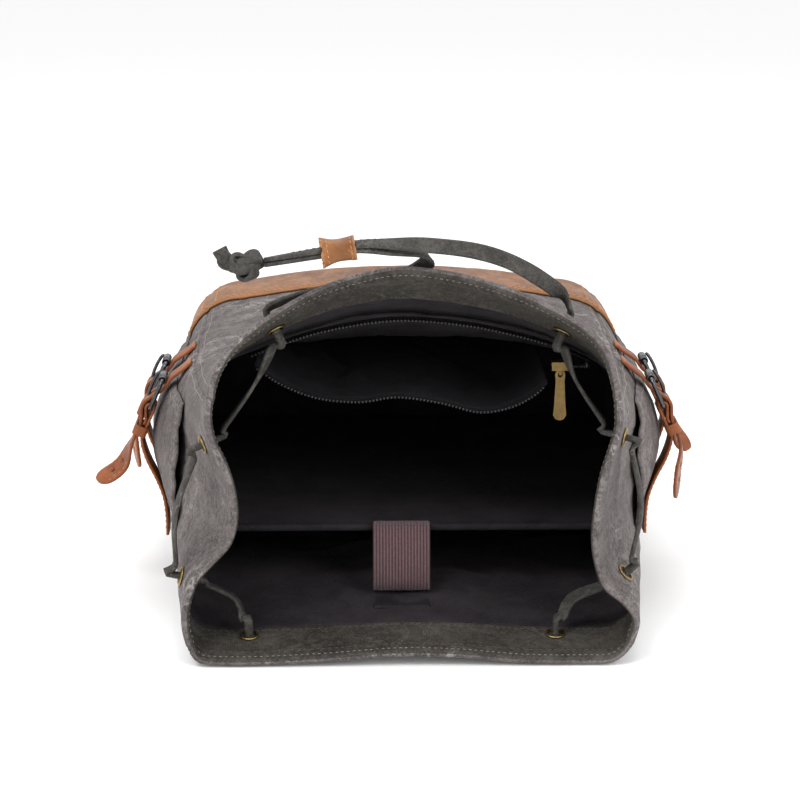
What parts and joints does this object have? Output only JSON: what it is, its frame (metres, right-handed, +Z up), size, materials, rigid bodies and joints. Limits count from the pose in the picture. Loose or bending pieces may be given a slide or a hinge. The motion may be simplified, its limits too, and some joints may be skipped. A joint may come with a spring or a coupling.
{
  "type": "travel backpack",
  "caption": "Canvas and leather travel backpack lying on its back with its drawstring mouth open, with side buckle straps, laptop sleeve and zipped pocket.",
  "frame": {"origin": "on the floor under the middle of the bag's box, strap ends included", "axes": "+Z up, out of the bag's front panel, as it lies on its back; -Y out of the mouth, +Y towards the leather base; X across"},
  "size_m": [0.4108, 0.4529, 0.2713],
  "materials": {
    "waxed_canvas": "waxed, creased, grey-brown",
    "lining_twill": "dark twill",
    "tan_leather": "smooth, satin",
    "antique_brass": "antique",
    "gunmetal": "dark nickel plate",
    "elastic_web": "ribbed elastic",
    "board": "fibreboard"
  },
  "bodies": {
    "root": {"back_panel": "waxed_canvas", "base_board": "board", "buckle_frame_left_lower": "gunmetal", "buckle_frame_left_upper": "gunmetal", "buckle_frame_right_lower": "gunmetal", "buckle_frame_right_upper": "gunmetal", "buckle_strap_left_lower": "tan_leather", "buckle_strap_left_upper": "tan_leather", "buckle_strap_right_lower": "tan_leather", "buckle_strap_right_upper": "tan_leather", "carry_handle": "tan_leather", "drawstring": "waxed_canvas", "drawstring_end_left": "waxed_canvas", "drawstring_end_right": "waxed_canvas", "drawstring_knot": "waxed_canvas", "eyelet_1": "antique_brass", "eyelet_2": "antique_brass", "eyelet_3": "antique_brass", "eyelet_4": "antique_brass", "eyelet_5": "antique_brass", "eyelet_6": "antique_brass", "eyelet_7": "antique_brass", "eyelet_8": "antique_brass", "front_panel": "waxed_canvas", "front_pocket": "waxed_canvas", "holed_strap_left_lower": "tan_leather", "holed_strap_left_upper": "tan_leather", "holed_strap_right_lower": "tan_leather", "holed_strap_right_upper": "tan_leather", "hook_patch": "lining_twill", "laptop_divider": "lining_twill", "leather_base": "tan_leather", "lining": "lining_twill", "mouth_facing": "waxed_canvas", "shoulder_strap_left": "waxed_canvas", "shoulder_strap_right": "waxed_canvas", "side_panel_left": "waxed_canvas", "side_panel_right": "waxed_canvas", "side_pocket_left": "waxed_canvas", "side_pocket_right": "waxed_canvas", "strap_yoke": "tan_leather", "zip_pocket": "lining_twill", "zip_tape_lower": "lining_twill", "zip_tape_upper": "lining_twill"},
    "lid": {"lid_panel": "waxed_canvas"},
    "front_pocket_flap": {"front_pocket_flap": "tan_leather"},
    "laptop_strap": {"laptop_strap": "elastic_web"},
    "zip_slider": {"zip_slider": "antique_brass"},
    "zip_pull": {"zip_pull": "antique_brass"},
    "drawstring_toggle": {"drawstring_toggle": "tan_leather"},
    "buckle_prong_left_upper": {"buckle_prong_left_upper": "gunmetal"},
    "buckle_roller_left_upper": {"buckle_roller_left_upper": "gunmetal"},
    "buckle_prong_left_lower": {"buckle_prong_left_lower": "gunmetal"},
    "buckle_roller_left_lower": {"buckle_roller_left_lower": "gunmetal"},
    "buckle_prong_right_upper": {"buckle_prong_right_upper": "gunmetal"},
    "buckle_roller_right_upper": {"buckle_roller_right_upper": "gunmetal"},
    "buckle_prong_right_lower": {"buckle_prong_right_lower": "gunmetal"},
    "buckle_roller_right_lower": {"buckle_roller_right_lower": "gunmetal"}
  },
  "joints": [
    {"name": "lid_hinge", "type": "hinge", "parent": "root", "child": "lid", "pos_m": [0.005, -0.172, 0.00645], "axis": [-1, 0, 0], "range_deg": [0, 125]},
    {"name": "front_pocket_flap_hinge", "type": "hinge", "parent": "root", "child": "front_pocket_flap", "pos_m": [0.005, -0.033, 0.17907], "axis": [1, 0, 0], "range_deg": [0, 112]},
    {"name": "laptop_strap_hinge", "type": "hinge", "parent": "root", "child": "laptop_strap", "pos_m": [0, -0.1241, 0.0671], "axis": [-1, 0, 0], "range_deg": [0, 150]},
    {"name": "zip_slider_slide", "type": "slide", "parent": "root", "child": "zip_slider", "axis": [1, 0, 0], "range_m": [0, 0.009]},
    {"name": "zip_pull_hinge", "type": "hinge", "parent": "zip_slider", "child": "zip_pull", "pos_m": [0.1, -0.149, 0.16969], "axis": [0, 1, 0], "range_deg": [-30, 38]},
    {"name": "drawstring_toggle_slide", "type": "slide", "parent": "root", "child": "drawstring_toggle", "axis": [-0.987, -0.0296, -0.1579], "range_m": [0, 0.03]},
    {"name": "buckle_prong_left_upper_hinge", "type": "hinge", "parent": "root", "child": "buckle_prong_left_upper", "pos_m": [-0.16708, -0.046, 0.127], "axis": [0, -1, 0], "range_deg": [0, 45]},
    {"name": "buckle_roller_left_upper_spin", "type": "hinge", "parent": "root", "child": "buckle_roller_left_upper", "pos_m": [-0.15853, -0.046, 0.14618], "axis": [0, 1, 0], "continuous": true},
    {"name": "buckle_prong_left_lower_hinge", "type": "hinge", "parent": "root", "child": "buckle_prong_left_lower", "pos_m": [-0.16853, 0.01, 0.127], "axis": [0, -1, 0], "range_deg": [0, 45]},
    {"name": "buckle_roller_left_lower_spin", "type": "hinge", "parent": "root", "child": "buckle_roller_left_lower", "pos_m": [-0.15999, 0.01, 0.14618], "axis": [0, 1, 0], "continuous": true},
    {"name": "buckle_prong_right_upper_hinge", "type": "hinge", "parent": "root", "child": "buckle_prong_right_upper", "pos_m": [0.17721, -0.046, 0.127], "axis": [0, 1, 0], "range_deg": [0, 45]},
    {"name": "buckle_roller_right_upper_spin", "type": "hinge", "parent": "root", "child": "buckle_roller_right_upper", "pos_m": [0.16867, -0.046, 0.14618], "axis": [0, 1, 0], "continuous": true},
    {"name": "buckle_prong_right_lower_hinge", "type": "hinge", "parent": "root", "child": "buckle_prong_right_lower", "pos_m": [0.17853, 0.01, 0.127], "axis": [0, 1, 0], "range_deg": [0, 45]},
    {"name": "buckle_roller_right_lower_spin", "type": "hinge", "parent": "root", "child": "buckle_roller_right_lower", "pos_m": [0.16999, 0.01, 0.14618], "axis": [0, 1, 0], "continuous": true}
  ]
}
